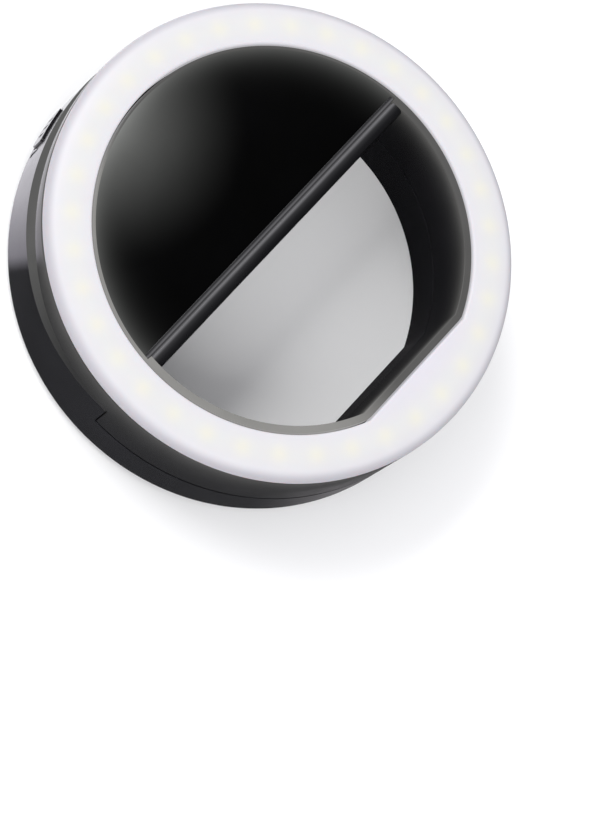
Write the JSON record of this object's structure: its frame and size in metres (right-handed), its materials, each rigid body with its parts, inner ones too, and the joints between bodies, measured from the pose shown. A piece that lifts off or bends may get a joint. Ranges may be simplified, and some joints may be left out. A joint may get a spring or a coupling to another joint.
{
  "type": "clip-on ring light",
  "caption": "Round spring-clip light for a phone: a glowing ring with a half-moon finger lever, a D-shaped window and a hinged jaw that opens at the bottom.",
  "frame": {"origin": "centre of the bounding box's base: the ring's axis at the back face, the light lying on its back", "axes": "+Z the way the light shines, +Y towards the half-moon finger lever, -Y towards the jaw"},
  "size_m": [0.085, 0.0852, 0.0255],
  "materials": {
    "black_shell": "glossy injection moulded",
    "diffuser": "milky translucent, lit from behind",
    "white_board": "white solder mask",
    "led": "warm phosphor",
    "dark_cover": "fine moulded texture",
    "grip_rubber": "matt soft rubber",
    "steel": "nickel-plated",
    "battery_foil": "laminated pouch",
    "foam": "closed-cell foam",
    "green_board": "green solder mask",
    "chip": "moulded epoxy",
    "smoked_plastic": "smoked clear",
    "red_lead": "vinyl insulation",
    "black_lead": "vinyl insulation"
  },
  "bodies": {
    "clip": {"rear_housing": "black_shell", "clip_inner_cover": "dark_cover", "rear_jaw_cover": "dark_cover", "rear_jaw_pad": "grip_rubber", "clip_screw_1": "steel", "clip_screw_2": "steel", "clip_screw_3": "steel", "clip_screw_4": "steel", "hinge_pin": "steel", "torsion_spring_left": "steel", "torsion_spring_right": "steel", "battery_pack": "battery_foil", "battery_foam_pad": "foam", "battery_lead_positive": "red_lead", "battery_lead_negative": "black_lead", "head_lead_positive": "red_lead", "head_lead_negative": "black_lead", "control_board": "green_board", "charger_chip": "chip", "driver_chip": "chip", "power_inductor": "chip", "tact_switch": "steel", "usb_socket": "steel", "indicator_led": "led", "indicator_light_pipe": "smoked_plastic"},
    "head": {"front_housing": "black_shell", "diffuser_ring": "diffuser", "led_board": "white_board", "led_strip": "led", "head_back_cover": "dark_cover", "front_jaw_cover": "dark_cover", "front_jaw_pad": "grip_rubber", "head_screw_1": "steel", "head_screw_2": "steel", "head_screw_3": "steel", "head_screw_4": "steel"},
    "button": {"power_button": "black_shell"}
  },
  "joints": [
    {"name": "jaw_hinge", "type": "hinge", "parent": "clip", "child": "head", "pos_m": [0, 0.0026, 0.0165], "axis": [-1, 0, 0], "range_deg": [0, 10], "stiffness_Nm_per_rad": 0.25, "springref_deg": -40.11},
    {"name": "button_press", "type": "slide", "parent": "clip", "child": "button", "axis": [0.1994, -0.9799, 0], "range_m": [0, 0.0005], "stiffness_N_per_m": 800, "springref_m": -0.0005}
  ]
}
